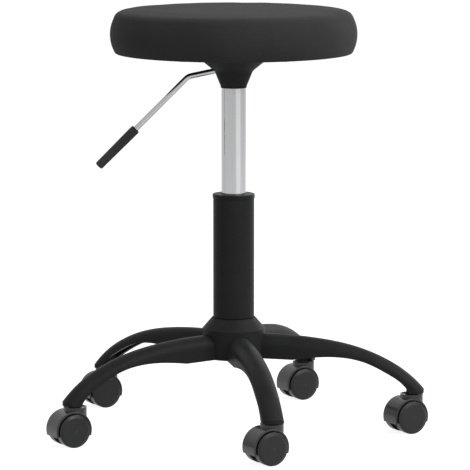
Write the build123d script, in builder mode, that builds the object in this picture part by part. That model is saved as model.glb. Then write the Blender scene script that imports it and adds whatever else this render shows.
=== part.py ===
from build123d import *
from math import cos, radians, sin, tan
import os

os.makedirs("parts", exist_ok=True)

# Adjustable swivel stool on a gas lift and a five-arm caster base.
# Origin on the floor under the column, +Z up, front of the stool towards -Y. Millimetres.

# Fits
running_clearance = 0.05     # radial, shaft in its bore
axial_play = 0.1             # end play of a turning piece
soft_clearance = 0.15        # foam inside its cover
swing_clearance = 0.7        # lever in its slot, each side

# Caster
wheel_radius = 20.0
wheel_width = 10.2           # tread
wheel_rim = 3.0              # thickness of the tread ring
wheel_face = 2.6             # thickness of the outer disc
wheel_bevel = 1.6            # rise of the bevel between tread and disc
wheel_disc_radius = 16.2     # disc inside the bevel
wheel_dome = 0.4             # rise of the disc at its middle
wheel_edge = 0.6             # rounding of the tread and the bevel
wheel_hub_radius = 6.5
axle_radius = 2.5
axle_cap = 2.0               # wheel material left over the axle's end
web_thickness = 12.4         # middle web of the hood, between the wheels
web_boss_radius = 9.5        # round of the web below the axle
wheel_side_gap = 0.5         # wheel to web
hood_gap = 1.3               # tread to the inside of the hood
hood_wall = 2.1
hood_skirt = 7.0             # hood's lower edge below the axle
wheel_proud = 2.2            # tread past the hood's end
hood_edge = 0.8              # rounding of the hood's ends
caster_trail = 8.2           # stem axis to axle, level
boss_radius = 13.9
boss_rise = 27.0             # top of the stem boss above the axle
boss_recess = 1.0
boss_rim = 2.0               # width of the rim round the recess
caster_heading = 29.0        # axle turned from the front direction, degrees

# Caster stem and its socket
stem_radius = 5.0            # in the arm
stem_pivot_radius = 4.0      # in the caster
stem_depth = 26.0            # pivot length below the collar
stem_reach = 9.2             # length above the arm tip's underside
collar_radius = 8.0
collar_rise = 1.4            # arm tip above the top of the boss
stem_bore_spare = 0.8        # bore past each end of the stem
grip_groove = 0.8            # depth of the stem's ring groove
grip_ring_width = 1.8
grip_ring_height = 3.6       # ring above the arm tip's underside
grip_ring_gap = 2.4          # opening of the ring
socket_wall = 1.5
snap_depth = 0.6             # stem's retaining groove
snap_width = 1.6
snap_height = 8.0            # groove above the stem's lower end

# Base
arm_count = 5
first_arm_angle = -78.25     # degrees from +X
caster_circle = 218.0        # radius of the ring of stems
hub_radius = 38.2
hub_height = 35.0
hub_lift = 40.6              # hub's underside above the arm tips
hub_wall = 4.0
shoulder_height = 13.3       # cone between hub and column
shoulder_lip = 1.8           # ring at the top of the cone
mouth_width = 1.2            # countersink in that ring, round the column
mouth_depth = 2.4
arm_root_height = 29.0
arm_root_width = 30.6
arm_tip_height = 15.8
arm_tip_width = 26.0
arm_tip_past = 4.5           # middle of the tip past the stem axis
arm_nose = 10.5              # end of the tip past its middle
arm_nose_height = 4.6        # height of the blunt end
arm_nose_radius = 16.0       # rounding of the end, seen from above
arm_heel = 2.0               # arm's underside meets the tip this far inside the stem axis
arm_web = 4.0                # closed metal between the channel and the socket
channel_width = 16.0         # open channel under the arm
channel_roof = 6.0           # metal over the channel

# Ridge and belly of an arm, as (share of its reach, share of its rise above the tip).
arm_ridge = ((0.190, 0.970), (0.348, 0.913), (0.499, 0.827), (0.662, 0.673), (0.824, 0.429), (0.932, 0.197))
arm_belly = ((0.190, 0.971), (0.348, 1.057), (0.499, 1.067), (0.662, 0.931), (0.824, 0.579), (0.910, 0.318))
arm_spans = 15               # evenly spaced sections between hub and end

# Gas lift
column_radius = 25.0
column_wall = 2.5
column_taper = 1.0           # radius lost in the hub
column_groove_height = 1.4   # groove above the hub, which shows that the column is fully home
column_groove_depth = 1.4
column_exposed = 147.0
column_floor = 3.0
column_floor_rise = 4.0      # floor above the column's lower end
cap_height = 5.0
cap_overhang = 0.7
cap_edge = 1.2
bush_length = 68.0
bush_land = 9.0              # length of the bush's end lands
bush_relief = 2.5
tube_radius = 15.0
tube_wall = 2.0
tube_exposed = 129.0         # bright tube showing with the seat raised
tube_taper = 0.6             # radius lost in the bell
tube_taper_length = 24.0
tube_grip = 17.2             # length of tube inside the bell
stroke = 120.0
stop_gap = 1.0               # tube to bumper with the seat right down
gland_height = 18.0
valve_height = 22.0
piston_height = 10.0
piston_gap = 2.0             # piston above the gland with the seat raised
rod_radius = 5.0
rod_end_radius = 4.0
rod_end_drop = 3.0           # rod end below the column's floor
bumper_height = 9.0
bumper_radius = 11.0
bumper_edge = 1.5
race_thickness = 1.5
race_radius = 13.0
race_bore_gap = 1.5          # lower race clear of the rod
ball_radius = 1.5
ball_count = 12
ball_ring = 9.5
rod_washer_thickness = 1.2
rod_washer_radius = 9.0
rod_clip_thickness = 1.0
rod_clip_radius = 6.5
rod_clip_groove = 0.7
rod_clip_gap = 3.0
pin_radius = 3.0             # release pin
pin_rise = 3.5               # pin above the tube's top
pin_spare = 2.0              # valve bore left below the pressed pin
pin_edge = 1.2               # rounding of the pin's head

# Bell
bell_lip_radius = 15.8
bell_lip_height = 2.0
bell_neck_radius = 22.9
bell_neck_height = 19.4
bell_throat_radius = 24.8
bell_throat_height = 21.7
bell_top_radius = 49.6
bell_height = 41.7
bell_wall = 2.2
bell_flare_wall = 3.5        # level thickness of the flare at its top
bell_edge = 0.6
socket_top_gap = 1.5         # bell's socket above the tube's top
ear_width = 6.0
ear_thickness = 3.2
ear_rise = 3.7               # ear above the pivot

# Lever
lever_radius = 3.5
lever_pivot_reach = 17.5     # pivot from the column's axis
lever_pivot_height = 21.47   # above the bell's lower end
lever_slope = 12.0           # inner run, degrees
lever_dip = 45.0             # outer leg, degrees
lever_inner_run = 37.5       # pivot to bend, level
lever_tip_reach = 4.0        # inner end past the column's axis
lever_leg = 89.6             # bend to grip
lever_bend_radius = 14.0
lever_swing = 8.0            # degrees the handle rises
pivot_pin_radius = 1.5
grip_length = 65.0
grip_radius = 5.9
grip_end_radius = 5.3
grip_depth = 54.0            # rod inside the grip
grip_edge = 2.4

# Seat
seat_radius = 149.5
seat_foot_inset = 6.3        # lower corner inside the widest ring
seat_rim_inset = 10.5        # corner of side and crown inside the widest ring
seat_widest_height = 22.0
seat_rim_height = 50.8
seat_height = 54.7
seat_edge = 18.0             # rounding between side and crown
seat_foot_edge = 2.0
cover_thickness = 1.2
hem_width = 28.0
board_thickness = 12.0
board_inset = 5.5            # board inside the seat's lower corner
plate_side = 160.0
plate_thickness = 2.5
plate_corner = 15.0
bolt_spacing = 120.0
bolt_radius = 3.0
bolt_hole_gap = 0.3
bolt_head_radius = 5.2
bolt_head_height = 3.8
bolt_length = 13.2           # shank above the head's washer
washer_thickness = 1.2
washer_radius = 7.0
tee_flange_radius = 9.0
tee_flange_thickness = 1.2
tee_barrel_radius = 4.2
tee_barrel_length = 9.0
staple_count = 30
staple_width = 10.0
staple_wire = 0.8
staple_leg = 6.0

# Heights, worked up from the floor
axle_z = wheel_radius
boss_top_z = axle_z + boss_rise
collar_z = boss_top_z - boss_recess + axial_play
tip_z = boss_top_z + collar_rise
hub_z = tip_z + hub_lift
shoulder_z = hub_z + hub_height
hub_top_z = shoulder_z + shoulder_height
column_z = hub_z + axial_play
column_top_z = hub_top_z + column_exposed
cap_top_z = column_top_z + cap_height
bell_z = cap_top_z + tube_exposed
tube_top_z = bell_z + tube_grip
plate_z = bell_z + bell_height
board_z = plate_z + plate_thickness
seat_z = board_z - cover_thickness
floor_top_z = column_z + column_floor_rise + column_floor
ball_z = floor_top_z + race_thickness + ball_radius
race_top_z = ball_z + ball_radius + race_thickness
bumper_top_z = race_top_z + bumper_height
tube_z = bumper_top_z + stop_gap + stroke
gland_top_z = tube_z + gland_height
piston_z = gland_top_z + piston_gap
valve_z = tube_top_z - valve_height
pivot_z = bell_z + lever_pivot_height
socket_top_z = tube_top_z + socket_top_gap

# Radii that follow from others
column_bore = column_radius - column_wall
tube_bore = tube_radius - tube_wall
tube_top_radius = tube_radius - tube_taper
hood_bore = wheel_radius + hood_gap
hood_radius = hood_bore + hood_wall
wheel_inner_y = web_thickness / 2 + wheel_side_gap
wheel_outer_y = wheel_inner_y + wheel_width
disc_y = wheel_outer_y + wheel_bevel
hood_end_y = wheel_outer_y - wheel_proud
socket_radius = stem_radius + socket_wall
seat_foot_radius = seat_radius - seat_foot_inset
seat_rim_radius = seat_radius - seat_rim_inset
pivot_x = -lever_pivot_reach
arm_angles = [first_arm_angle + 360 / arm_count * number for number in range(arm_count)]
heading = radians(caster_heading)


def save(piece, node):
    """Name a finished piece and write it to its own file."""
    piece.part.label = node
    export_step(piece.part, f"parts/{node}.step")


def arm_place(angle, reach):
    """Upright plane at a reach along an arm, its X axis pointing out along the arm."""
    outward = Vector(cos(radians(angle)), sin(radians(angle)), 0)
    return Plane(origin=outward * reach, x_dir=outward, z_dir=(0, 0, 1))


def caster_place(angle):
    """Plane on the floor under a stem, its X axis pointing the way the wheels trail."""
    stem = arm_place(angle, caster_circle).origin
    return Plane(origin=stem, x_dir=(-cos(heading), -sin(heading), 0), z_dir=(0, 0, 1))


def arch(reach, top, half_width):
    """Upright cross-section of an arm: round top, straight sides down past the belly."""
    low = tip_z - arm_tip_height
    springing = top - half_width
    with BuildSketch(Plane(origin=(reach, 0, 0), x_dir=(0, 1, 0), z_dir=(1, 0, 0))) as section:
        with BuildLine():
            Polyline((half_width, springing), (half_width, low), (-half_width, low), (-half_width, springing))
            ThreePointArc((half_width, springing), (0, top), (-half_width, springing))
        make_face()
    return section.sketch


def cushion(inset):
    """Half cross-section of the seat, a distance inside its outer surface."""
    foot = (seat_foot_radius - inset, seat_z + inset)
    widest = (seat_radius - inset, seat_z + seat_widest_height)
    rim = (seat_rim_radius - inset, seat_z + seat_rim_height - inset)
    crown = (0, seat_z + seat_height - inset)
    with BuildSketch() as half:
        with BuildLine():
            Polyline(crown, (0, foot[1]), foot)
            ThreePointArc(foot, widest, rim)
            TangentArc(crown, rim, tangent=(1, 0))
        make_face()
        fillet(half.vertices().sort_by_distance(rim)[0], seat_edge - inset)
        fillet(half.vertices().sort_by_distance(foot)[0], seat_foot_edge)
    return half.sketch


# Seat: cover, foam, board

board_radius = seat_foot_radius - board_inset
board_top_z = board_z + board_thickness

with BuildPart() as seat_cover:
    with BuildSketch(Plane.XZ):
        add(cushion(0))
        add(cushion(cover_thickness), mode=Mode.SUBTRACT)
        with Locations((0, seat_z)):
            opening = seat_foot_radius - hem_width
            Rectangle(opening, cover_thickness, align=(Align.MIN, Align.MIN), mode=Mode.SUBTRACT)
    revolve(axis=Axis.Z)
save(seat_cover, "seat_cover")

with BuildPart() as seat_foam:
    with BuildSketch(Plane.XZ):
        add(cushion(cover_thickness + soft_clearance))
        with Locations((0, seat_z)):
            Rectangle(board_radius, board_top_z - seat_z, align=(Align.MIN, Align.MIN), mode=Mode.SUBTRACT)
    revolve(axis=Axis.Z)
save(seat_foam, "seat_foam")

with BuildPart() as seat_board:
    with BuildSketch(Plane.XY.offset(board_z)):
        Circle(board_radius)
    extrude(amount=board_thickness)
    with Locations((0, 0, board_top_z)):
        with GridLocations(bolt_spacing, bolt_spacing, 2, 2):
            CounterBoreHole(tee_barrel_radius, tee_flange_radius, tee_flange_thickness)
save(seat_board, "seat_board")

with BuildPart() as tee_nuts:
    with BuildSketch(Plane.XY.offset(board_top_z - tee_flange_thickness)):
        with GridLocations(bolt_spacing, bolt_spacing, 2, 2):
            Circle(tee_flange_radius)
    extrude(amount=tee_flange_thickness)
    with BuildSketch(Plane.XY.offset(board_top_z - tee_flange_thickness)):
        with GridLocations(bolt_spacing, bolt_spacing, 2, 2):
            Circle(tee_barrel_radius)
    extrude(amount=-tee_barrel_length)
    with BuildSketch(Plane.XY.offset(board_top_z)):
        with GridLocations(bolt_spacing, bolt_spacing, 2, 2):
            Circle(bolt_radius)
    extrude(amount=-board_thickness, mode=Mode.SUBTRACT)
save(tee_nuts, "tee_nuts")

# Staples that hold the turned-under cover to the board
with BuildPart() as cover_staples:
    with BuildSketch(Plane.XY.offset(seat_z)):
        with PolarLocations(seat_foot_radius - hem_width / 2, staple_count):
            Rectangle(staple_wire, staple_width)
    extrude(amount=-staple_wire)
    with BuildSketch(Plane.XY.offset(seat_z)):
        with PolarLocations(seat_foot_radius - hem_width / 2, staple_count):
            with Locations((0, (staple_width - staple_wire) / 2), (0, (staple_wire - staple_width) / 2)):
                Rectangle(staple_wire, staple_wire)
    extrude(amount=staple_leg)
save(cover_staples, "cover_staples")

# Seat plate, bolts and washers

with BuildPart() as seat_plate:
    with BuildSketch(Plane.XY.offset(plate_z)):
        RectangleRounded(plate_side, plate_side, plate_corner)
        with GridLocations(bolt_spacing, bolt_spacing, 2, 2):
            Circle(bolt_radius + bolt_hole_gap, mode=Mode.SUBTRACT)
    extrude(amount=plate_thickness)
save(seat_plate, "seat_plate")

with BuildPart() as plate_washers:
    with BuildSketch(Plane.XY.offset(plate_z)):
        with GridLocations(bolt_spacing, bolt_spacing, 2, 2):
            Circle(washer_radius)
            Circle(bolt_radius + bolt_hole_gap, mode=Mode.SUBTRACT)
    extrude(amount=-washer_thickness)
save(plate_washers, "plate_washers")

with BuildPart() as plate_bolts:
    with BuildSketch(Plane.XY.offset(plate_z - washer_thickness)):
        with GridLocations(bolt_spacing, bolt_spacing, 2, 2):
            RegularPolygon(bolt_head_radius, 6, major_radius=False)
    extrude(amount=-bolt_head_height)
    with BuildSketch(Plane.XY.offset(plate_z - washer_thickness)):
        with GridLocations(bolt_spacing, bolt_spacing, 2, 2):
            Circle(bolt_radius)
    extrude(amount=bolt_length)
save(plate_bolts, "plate_bolts")

# Bell: conical housing that grips the tapered tube and carries the lever

bell_outline = (
    (bell_lip_radius, bell_z),
    (bell_lip_radius, bell_z + bell_lip_height),
    (bell_neck_radius, bell_z + bell_neck_height),
    (bell_throat_radius, bell_z + bell_throat_height),
    (bell_top_radius, plate_z),
)
taper_z = tube_top_z - tube_taper_length
taper_rate = tube_taper / tube_taper_length
pocket_outline = (
    (0, socket_top_z),
    (bell_neck_radius - bell_wall, socket_top_z),
    (bell_throat_radius - bell_wall, bell_z + bell_throat_height),
    (bell_top_radius - bell_flare_wall, plate_z),
    (0, plate_z),
)

slope = radians(lever_slope)
swing = radians(lever_swing)
slot_half_width = lever_radius + swing_clearance
slot_run = bell_throat_radius - lever_pivot_reach
slot_low_z = pivot_z - lever_radius / cos(slope) - slot_run * tan(slope) - swing_clearance
slot_high_z = pivot_z + lever_radius / cos(slope) + slot_run * tan(swing) + swing_clearance
pivot_pin_length = 2 * (slot_half_width + ear_thickness)
pivot_plane = Plane(origin=(pivot_x, 0, pivot_z), z_dir=(0, 1, 0))

with BuildPart() as bell_housing:
    with BuildSketch(Plane.XZ) as bell_half:
        with BuildLine():
            Polyline(*bell_outline, (0, plate_z), (0, bell_z), close=True)
        make_face()
        fillet(bell_half.vertices().sort_by_distance((bell_lip_radius, bell_z))[0], bell_edge)
    revolve(axis=Axis.Z)
    with BuildSketch(Plane.XZ):
        with BuildLine():
            Polyline(*pocket_outline, close=True)
        make_face()
    revolve(axis=Axis.Z, mode=Mode.SUBTRACT)
    # Ears for the lever's pivot pin
    with BuildSketch(Plane.XY.offset(socket_top_z - bell_wall)):
        with Locations((pivot_x, 0)):
            Rectangle(ear_width, pivot_pin_length)
    extrude(amount=pivot_z + ear_rise - socket_top_z + bell_wall)
    # Tapered bore, open into the pocket above
    with BuildSketch(Plane.XZ):
        with BuildLine():
            Polyline(
                (0, taper_z),
                (tube_radius, taper_z),
                (tube_radius - taper_rate * (socket_top_z - taper_z), socket_top_z),
                (tube_radius - taper_rate * (socket_top_z - taper_z), plate_z),
                (0, plate_z),
                close=True,
            )
        make_face()
    revolve(axis=Axis.Z, mode=Mode.SUBTRACT)
    # Slot for the lever and its swing, out through the left side
    with BuildSketch(Plane.XZ):
        with Locations((0, slot_low_z)):
            Rectangle(
                bell_top_radius,
                slot_high_z - slot_low_z,
                align=(Align.MAX, Align.MIN),
            )
    extrude(amount=slot_half_width, both=True, mode=Mode.SUBTRACT)
    with Locations(pivot_plane):
        Cylinder(pivot_pin_radius, pivot_pin_length, mode=Mode.SUBTRACT)
save(bell_housing, "bell_housing")

with BuildPart(pivot_plane) as lever_pivot_pin:
    Cylinder(pivot_pin_radius, pivot_pin_length)
save(lever_pivot_pin, "lever_pivot_pin")

# Lever: bent rod and grip

dip = radians(lever_dip)
lever_bend = (pivot_x - lever_inner_run, pivot_z - lever_inner_run * tan(slope))
lever_tip = (lever_tip_reach, pivot_z + (lever_pivot_reach + lever_tip_reach) * tan(slope))
grip_start = (lever_bend[0] - lever_leg * cos(dip), lever_bend[1] - lever_leg * sin(dip))
lever_end = (grip_start[0] - grip_depth * cos(dip), grip_start[1] - grip_depth * sin(dip))

with BuildPart() as lever_rod:
    with BuildLine(Plane.XZ) as lever_route:
        FilletPolyline(lever_tip, lever_bend, lever_end, radius=lever_bend_radius)
    with BuildSketch(Plane(origin=lever_route.line @ 0, z_dir=lever_route.line % 0)):
        Circle(lever_radius)
    sweep()
    with Locations(pivot_plane):
        Cylinder(pivot_pin_radius + running_clearance, 2 * slot_half_width, mode=Mode.SUBTRACT)
save(lever_rod, "lever_rod")

grip_plane = Plane(origin=(grip_start[0], 0, grip_start[1]), z_dir=(-cos(dip), 0, -sin(dip)))
with BuildPart(grip_plane) as lever_grip:
    Cone(grip_radius, grip_end_radius, grip_length, align=(Align.CENTER, Align.CENTER, Align.MIN))
    fillet(lever_grip.edges().filter_by(GeomType.CIRCLE), grip_edge)
    Cylinder(lever_radius, grip_depth, align=(Align.CENTER, Align.CENTER, Align.MIN), mode=Mode.SUBTRACT)
save(lever_grip, "lever_grip")

# Gas lift: pressure tube and what is sealed in it

with BuildPart() as pressure_tube:
    with BuildSketch(Plane.XZ):
        with BuildLine():
            Polyline(
                (tube_bore, tube_z),
                (tube_radius, tube_z),
                (tube_radius, taper_z),
                (tube_top_radius, tube_top_z),
                (tube_bore, tube_top_z),
                close=True,
            )
        make_face()
    revolve(axis=Axis.Z)
save(pressure_tube, "pressure_tube")

with BuildPart() as valve_body:
    with BuildSketch(Plane.XY.offset(valve_z)):
        Circle(tube_bore)
        Circle(pin_radius + running_clearance, mode=Mode.SUBTRACT)
    extrude(amount=valve_height)
save(valve_body, "valve_body")

pin_travel = lever_pivot_reach * tan(swing)
pin_z = valve_z + pin_spare + pin_travel

with BuildPart() as release_pin:
    with BuildSketch(Plane.XY.offset(pin_z)):
        Circle(pin_radius)
    extrude(amount=tube_top_z + pin_rise - pin_z)
    fillet(release_pin.edges().sort_by(Axis.Z)[-1], pin_edge)
save(release_pin, "release_pin")

with BuildPart() as rod_gland:
    with BuildSketch(Plane.XY.offset(tube_z)):
        Circle(tube_bore)
        Circle(rod_radius + running_clearance, mode=Mode.SUBTRACT)
    extrude(amount=gland_height)
save(rod_gland, "rod_gland")

rod_top_z = piston_z + piston_height
rod_end_z = floor_top_z - column_floor - rod_end_drop
clip_z = floor_top_z - column_floor - rod_washer_thickness - axial_play - rod_clip_thickness
clip_inner_radius = rod_end_radius - rod_clip_groove

with BuildPart() as piston_rod:
    with BuildSketch(Plane.XZ):
        with BuildLine():
            Polyline(
                (0, rod_end_z),
                (rod_end_radius, rod_end_z),
                (rod_end_radius, clip_z),
                (clip_inner_radius, clip_z),
                (clip_inner_radius, clip_z + rod_clip_thickness),
                (rod_end_radius, clip_z + rod_clip_thickness),
                (rod_end_radius, race_top_z),
                (rod_radius, race_top_z),
                (rod_radius, piston_z),
                (rod_end_radius, piston_z),
                (rod_end_radius, rod_top_z),
                (0, rod_top_z),
                close=True,
            )
        make_face()
    revolve(axis=Axis.Z)
save(piston_rod, "piston_rod")

with BuildPart() as piston:
    with BuildSketch(Plane.XY.offset(piston_z)):
        Circle(tube_bore - running_clearance)
        Circle(rod_end_radius, mode=Mode.SUBTRACT)
    extrude(amount=piston_height)
save(piston, "piston")

with BuildPart() as rod_bumper:
    with BuildSketch(Plane.XY.offset(race_top_z)):
        Circle(bumper_radius)
        Circle(rod_radius, mode=Mode.SUBTRACT)
    extrude(amount=bumper_height)
    fillet(rod_bumper.edges().group_by(Axis.Z)[-1].sort_by(SortBy.RADIUS)[-1], bumper_edge)
save(rod_bumper, "rod_bumper")

# Thrust bearing under the rod's shoulder, and the clip under the column's floor

with BuildPart() as upper_race:
    with BuildSketch(Plane.XY.offset(race_top_z)):
        Circle(race_radius)
        Circle(rod_end_radius, mode=Mode.SUBTRACT)
    extrude(amount=-race_thickness)
save(upper_race, "upper_race")

with BuildPart() as bearing_balls:
    with Locations((0, 0, ball_z)):
        with PolarLocations(ball_ring, ball_count):
            Sphere(ball_radius - running_clearance)
save(bearing_balls, "bearing_balls")

with BuildPart() as lower_race:
    with BuildSketch(Plane.XY.offset(floor_top_z)):
        Circle(race_radius)
        Circle(rod_end_radius + race_bore_gap, mode=Mode.SUBTRACT)
    extrude(amount=race_thickness)
save(lower_race, "lower_race")

with BuildPart() as rod_washer:
    with BuildSketch(Plane.XY.offset(floor_top_z - column_floor)):
        Circle(rod_washer_radius)
        Circle(rod_end_radius + running_clearance, mode=Mode.SUBTRACT)
    extrude(amount=-rod_washer_thickness)
save(rod_washer, "rod_washer")

with BuildPart() as rod_clip:
    with BuildSketch(Plane.XY.offset(clip_z)):
        Circle(rod_clip_radius)
        Circle(clip_inner_radius, mode=Mode.SUBTRACT)
        Rectangle(rod_clip_gap, rod_clip_radius, align=(Align.CENTER, Align.MAX), mode=Mode.SUBTRACT)
    extrude(amount=rod_clip_thickness)
save(rod_clip, "rod_clip")

# Column: outer tube with a tapered foot, and the guide bush in its top

column_foot_radius = column_radius - column_taper
column_taper_rate = column_taper / (hub_top_z - column_z)
floor_z = floor_top_z - column_floor

with BuildPart() as column_tube:
    with BuildSketch(Plane.XZ):
        with BuildLine():
            Polyline(
                (column_bore, column_z),
                (column_foot_radius, column_z),
                (column_radius, hub_top_z),
                (column_radius - column_groove_depth, hub_top_z),
                (column_radius - column_groove_depth, hub_top_z + column_groove_height),
                (column_radius, hub_top_z + column_groove_height),
                (column_radius, column_top_z),
                (column_bore, column_top_z),
                (column_bore, floor_top_z),
                (rod_end_radius + running_clearance, floor_top_z),
                (rod_end_radius + running_clearance, floor_z),
                (column_bore, floor_z),
                close=True,
            )
        make_face()
    revolve(axis=Axis.Z)
save(column_tube, "column_tube")

bush_z = column_top_z - bush_length
bush_bore = tube_radius + running_clearance
cap_radius = column_radius + cap_overhang

with BuildPart() as guide_bush:
    with BuildSketch(Plane.XZ) as bush_half:
        with BuildLine():
            Polyline(
                (bush_bore, bush_z),
                (column_bore, bush_z),
                (column_bore, bush_z + bush_land),
                (column_bore - bush_relief, bush_z + bush_land),
                (column_bore - bush_relief, column_top_z - bush_land),
                (column_bore, column_top_z - bush_land),
                (column_bore, column_top_z),
                (cap_radius, column_top_z),
                (cap_radius, cap_top_z),
                (bush_bore, cap_top_z),
                close=True,
            )
        make_face()
        fillet(bush_half.vertices().sort_by_distance((cap_radius, cap_top_z))[0], cap_edge)
    revolve(axis=Axis.Z)
save(guide_bush, "guide_bush")

# Base: hub, arms, stem sockets

with BuildPart() as base_hub:
    with BuildSketch(Plane.XZ):
        with BuildLine():
            Polyline(
                (column_foot_radius - column_taper_rate * (column_z - hub_z), hub_z),
                (column_foot_radius + hub_wall, hub_z),
                (column_radius + hub_wall, shoulder_z - hub_wall),
                (hub_radius - hub_wall, shoulder_z - hub_wall),
                (hub_radius - hub_wall, hub_z),
                (hub_radius, hub_z),
                (hub_radius, shoulder_z),
                (column_radius + shoulder_lip, hub_top_z),
                (column_radius + mouth_width, hub_top_z),
                (column_radius - column_taper_rate * mouth_depth, hub_top_z - mouth_depth),
                close=True,
            )
        make_face()
    revolve(axis=Axis.Z)
save(base_hub, "base_hub")

arm_tip_reach = caster_circle + arm_tip_past
arm_end_reach = arm_tip_reach + arm_nose
arm_reach = arm_tip_reach - hub_radius
arm_root_reach = hub_radius - hub_wall
tip_top_z = tip_z + arm_tip_height
ridge_rise = hub_z + arm_root_height - tip_top_z
belly_rise = hub_z - tip_z
below_tip_z = tip_z - 2 * arm_tip_height
channel_end = caster_circle - socket_radius - arm_web

with BuildLine() as ridge_line:
    Spline(
        (arm_root_reach, tip_top_z + ridge_rise),
        *[(hub_radius + arm_reach * share, tip_top_z + ridge_rise * rise) for share, rise in arm_ridge],
        (arm_tip_reach, tip_top_z),
        (arm_end_reach, tip_z + arm_nose_height),
    )
arm_tops = [ridge_line.line @ (station / arm_spans) for station in range(arm_spans + 1)]

with BuildPart() as arm_blank:
    # Outside: round-topped sections from the hub to the end of the tip
    for top in arm_tops:
        share = (top.X - arm_root_reach) / (arm_tip_reach - arm_root_reach)
        add(arch(top.X, top.Y, (arm_root_width + (arm_tip_width - arm_root_width) * share) / 2))
    loft()
    # End rounded off, seen from above
    with BuildSketch(Plane.XY.offset(below_tip_z)):
        with Locations((arm_end_reach, 0)):
            Rectangle(4 * arm_nose_radius, 2 * arm_nose_radius)
        with Locations((arm_end_reach - arm_nose_radius, 0)):
            Circle(arm_nose_radius, mode=Mode.SUBTRACT)
            Rectangle(
                4 * arm_nose_radius,
                2 * arm_nose_radius,
                align=(Align.MAX, Align.CENTER),
                mode=Mode.SUBTRACT,
            )
    extrude(amount=hub_top_z - below_tip_z, mode=Mode.SUBTRACT)
    # Channel under the arm, up to the web before the socket
    with BuildSketch(Plane.XZ):
        with BuildLine():
            roof = Spline(*[(top.X, top.Y - channel_roof) for top in arm_tops])
            Polyline(roof @ 1, (arm_end_reach, below_tip_z), (arm_root_reach, below_tip_z), roof @ 0)
        make_face()
        with Locations((channel_end, below_tip_z)):
            Rectangle(arm_reach, hub_top_z - below_tip_z, align=(Align.MIN, Align.MIN), mode=Mode.SUBTRACT)
    extrude(amount=channel_width / 2, both=True, mode=Mode.SUBTRACT)
    # Belly: underside from hub to heel, flat under the tip
    with BuildSketch(Plane.XZ):
        with BuildLine():
            belly = Spline(
                *[(hub_radius + arm_reach * share, tip_z + belly_rise * rise) for share, rise in arm_belly],
                (caster_circle - arm_heel, tip_z),
            )
            Polyline(
                belly @ 1,
                (caster_circle + arm_tip_width, tip_z),
                (caster_circle + arm_tip_width, below_tip_z),
                (0, below_tip_z),
                (0, hub_z),
                (hub_radius, hub_z),
                belly @ 0,
            )
        make_face()
    extrude(amount=arm_root_width, both=True, mode=Mode.SUBTRACT)
    # Root face fitted to the hub
    with BuildSketch(Plane.XY.offset(tip_z)):
        Circle(hub_radius)
    extrude(amount=hub_top_z - tip_z, mode=Mode.SUBTRACT)
    # Socket hole
    with BuildSketch(Plane.XY.offset(tip_z)):
        with Locations((caster_circle, 0)):
            Circle(socket_radius)
    extrude(amount=stem_reach + stem_bore_spare, mode=Mode.SUBTRACT)

for number, angle in enumerate(arm_angles, start=1):
    with BuildPart(arm_place(angle, 0)) as base_arm:
        add(arm_blank.part)
    save(base_arm, f"base_arm_{number}")

with BuildPart() as stem_sockets:
    with BuildSketch(Plane.XY.offset(tip_z)):
        with PolarLocations(caster_circle, arm_count, start_angle=first_arm_angle):
            Circle(socket_radius)
            Circle(stem_radius, mode=Mode.SUBTRACT)
    extrude(amount=stem_reach + stem_bore_spare)
save(stem_sockets, "stem_sockets")

# Stems: pressed into the arms, with a grooved pivot below the collar

stem_end_z = collar_z - stem_depth
snap_z = stem_end_z + snap_height
grip_ring_z = tip_z + grip_ring_height
grip_ring_bore = stem_radius - grip_groove

with BuildPart() as stem_blank:
    with BuildSketch(Plane.XZ):
        with BuildLine():
            Polyline(
                (0, stem_end_z),
                (stem_pivot_radius, stem_end_z),
                (stem_pivot_radius, snap_z),
                (stem_pivot_radius - snap_depth, snap_z),
                (stem_pivot_radius - snap_depth, snap_z + snap_width),
                (stem_pivot_radius, snap_z + snap_width),
                (stem_pivot_radius, collar_z),
                (collar_radius, collar_z),
                (collar_radius, tip_z),
                (stem_radius, tip_z),
                (stem_radius, grip_ring_z),
                (grip_ring_bore, grip_ring_z),
                (grip_ring_bore, grip_ring_z + grip_ring_width),
                (stem_radius, grip_ring_z + grip_ring_width),
                (stem_radius, tip_z + stem_reach),
                (0, tip_z + stem_reach),
                close=True,
            )
        make_face()
    revolve(axis=Axis.Z)

with BuildPart() as caster_stems:
    with PolarLocations(caster_circle, arm_count, start_angle=first_arm_angle):
        add(stem_blank.part)
save(caster_stems, "caster_stems")

with BuildPart() as stem_grip_rings:
    with BuildSketch(Plane.XY.offset(grip_ring_z)):
        with PolarLocations(caster_circle, arm_count, start_angle=first_arm_angle):
            Circle(stem_radius)
            Circle(grip_ring_bore, mode=Mode.SUBTRACT)
            with Locations((stem_radius, 0)):
                Rectangle(stem_radius, grip_ring_gap, mode=Mode.SUBTRACT)
    extrude(amount=grip_ring_width)
save(stem_grip_rings, "stem_grip_rings")

# Casters: modelled once round a stem at the origin, wheels trailing along +X, then set under each arm

axle_end_y = disc_y - axle_cap
axle_line = Axis((caster_trail, 0, axle_z), (0, 1, 0))

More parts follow.
